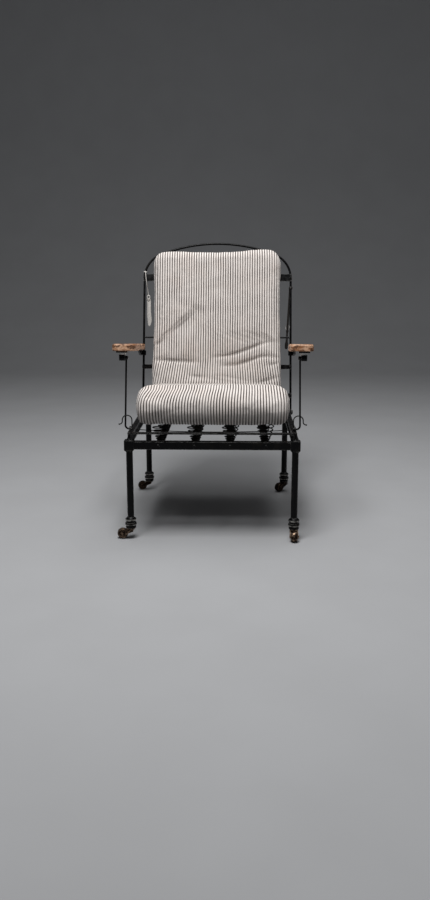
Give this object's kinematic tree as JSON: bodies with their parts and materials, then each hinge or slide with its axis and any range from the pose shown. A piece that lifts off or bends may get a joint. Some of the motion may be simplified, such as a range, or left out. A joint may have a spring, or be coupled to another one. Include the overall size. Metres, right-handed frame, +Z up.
{
  "type": "campaign chair",
  "caption": "Iron campaign armchair on casters with a reclining hoop back, flat wooden arms on swinging rods, a coil-spring seat and a folded striped ticking mattress.",
  "frame": {"origin": "on the floor, under the middle of the chair's box", "axes": "+X to the right of someone who faces the chair's front, -Y its front, +Z up"},
  "size_m": [0.7036, 0.9216, 1.0417],
  "materials": {
    "black_iron": "worn black paint on iron",
    "spring_wire": "blackened wire",
    "arm_wood": "worn waxed hardwood",
    "ticking": "striped cotton ticking",
    "cotton": "white cotton tape",
    "strap_leather": "dark old leather",
    "steel": "dull bright steel",
    "brass": "tarnished brass"
  },
  "bodies": {
    "seat_frame": {"front_left_leg": "black_iron", "front_left_casting": "black_iron", "front_right_leg": "black_iron", "front_right_casting": "black_iron", "rear_left_leg": "black_iron", "rear_left_casting": "black_iron", "rear_right_leg": "black_iron", "rear_right_casting": "black_iron", "front_rail": "black_iron", "rear_rail": "black_iron", "left_rail": "black_iron", "right_rail": "black_iron", "border_front": "black_iron", "border_rear": "black_iron", "border_left": "black_iron", "border_right": "black_iron", "border_posts": "black_iron", "seat_laths": "black_iron", "frame_rivets": "black_iron", "seat_springs": "spring_wire", "spring_ties": "spring_wire", "rod_lugs": "black_iron", "hinge_bolts": "black_iron", "seat_pad": "ticking"},
    "back": {"back_hoop": "black_iron", "back_top_bar": "black_iron", "back_lower_bar": "black_iron", "back_foot_bar": "black_iron", "back_tie_rod": "black_iron", "back_laths": "black_iron", "back_rivets": "black_iron", "arm_collars": "black_iron", "back_pad": "ticking", "leather_strap": "strap_leather", "strap_buckle": "steel", "cotton_tape": "cotton"},
    "left_arm": {"left_arm": "arm_wood", "left_arm_block": "black_iron", "left_arm_washer": "steel", "left_arm_knee": "black_iron"},
    "left_rod": {"left_arm_rod": "black_iron"},
    "left_catch": {"left_catch": "black_iron"},
    "right_arm": {"right_arm": "arm_wood", "right_arm_block": "black_iron", "right_arm_washer": "steel", "right_arm_knee": "black_iron"},
    "right_rod": {"right_arm_rod": "black_iron"},
    "right_catch": {"right_catch": "black_iron"},
    "front_left_caster": {"front_left_caster_fork": "brass", "front_left_caster_axle": "steel"},
    "front_left_wheel": {"front_left_caster_wheel": "brass"},
    "front_right_caster": {"front_right_caster_fork": "brass", "front_right_caster_axle": "steel"},
    "front_right_wheel": {"front_right_caster_wheel": "brass"},
    "rear_left_caster": {"rear_left_caster_fork": "brass", "rear_left_caster_axle": "steel"},
    "rear_left_wheel": {"rear_left_caster_wheel": "brass"},
    "rear_right_caster": {"rear_right_caster_fork": "brass", "rear_right_caster_axle": "steel"},
    "rear_right_wheel": {"rear_right_caster_wheel": "brass"}
  },
  "joints": [
    {"name": "back_recline", "type": "hinge", "parent": "seat_frame", "child": "back", "pos_m": [0, 0.25621, 0.34], "axis": [-1, 0, 0], "range_deg": [0, 74]},
    {"name": "left_rod_swing", "type": "hinge", "parent": "seat_frame", "child": "left_rod", "pos_m": [-0.3074, -0.37179, 0.3915], "axis": [-1, 0, 0], "range_deg": [0, 74]},
    {"name": "left_arm_level", "type": "hinge", "parent": "back", "child": "left_arm", "pos_m": [-0.313, 0.32567, 0.58224], "axis": [-1, 0, 0], "range_deg": [-74, 0]},
    {"name": "right_rod_swing", "type": "hinge", "parent": "seat_frame", "child": "right_rod", "pos_m": [0.3074, -0.37179, 0.3915], "axis": [-1, 0, 0], "range_deg": [0, 74]},
    {"name": "right_arm_level", "type": "hinge", "parent": "back", "child": "right_arm", "pos_m": [0.313, 0.32567, 0.58224], "axis": [-1, 0, 0], "range_deg": [-74, 0]},
    {"name": "left_catch_turn", "type": "hinge", "parent": "seat_frame", "child": "left_catch", "pos_m": [-0.2846, -0.36474, 0.386], "axis": [0, 0, 1], "range_deg": [0, 80]},
    {"name": "right_catch_turn", "type": "hinge", "parent": "seat_frame", "child": "right_catch", "pos_m": [0.2846, -0.36474, 0.386], "axis": [0, 0, -1], "range_deg": [0, 80]},
    {"name": "front_left_swivel", "type": "hinge", "parent": "seat_frame", "child": "front_left_caster", "pos_m": [-0.29, -0.41179, 0.04], "axis": [0, 0, 1], "continuous": true},
    {"name": "front_left_roll", "type": "hinge", "parent": "front_left_caster", "child": "front_left_wheel", "pos_m": [-0.32, -0.41179, 0.019], "axis": [0, -1, 0], "continuous": true},
    {"name": "front_right_swivel", "type": "hinge", "parent": "seat_frame", "child": "front_right_caster", "pos_m": [0.29, -0.41179, 0.04], "axis": [0, 0, 1], "continuous": true},
    {"name": "front_right_roll", "type": "hinge", "parent": "front_right_caster", "child": "front_right_wheel", "pos_m": [0.29, -0.44179, 0.019], "axis": [1, 0, 0], "continuous": true},
    {"name": "rear_left_swivel", "type": "hinge", "parent": "seat_frame", "child": "rear_left_caster", "pos_m": [-0.29, 0.24821, 0.04], "axis": [0, 0, 1], "continuous": true},
    {"name": "rear_left_roll", "type": "hinge", "parent": "rear_left_caster", "child": "rear_left_wheel", "pos_m": [-0.32, 0.24821, 0.019], "axis": [0, -1, 0], "continuous": true},
    {"name": "rear_right_swivel", "type": "hinge", "parent": "seat_frame", "child": "rear_right_caster", "pos_m": [0.29, 0.24821, 0.04], "axis": [0, 0, 1], "continuous": true},
    {"name": "rear_right_roll", "type": "hinge", "parent": "rear_right_caster", "child": "rear_right_wheel", "pos_m": [0.26879, 0.22699, 0.019], "axis": [0.7071, -0.7071, 0], "continuous": true}
  ],
  "couplings": [
    {"joint": "left_rod_swing", "follows": "back_recline", "ratio": 1},
    {"joint": "left_arm_level", "follows": "back_recline", "ratio": -1},
    {"joint": "right_rod_swing", "follows": "back_recline", "ratio": 1},
    {"joint": "right_arm_level", "follows": "back_recline", "ratio": -1}
  ]
}
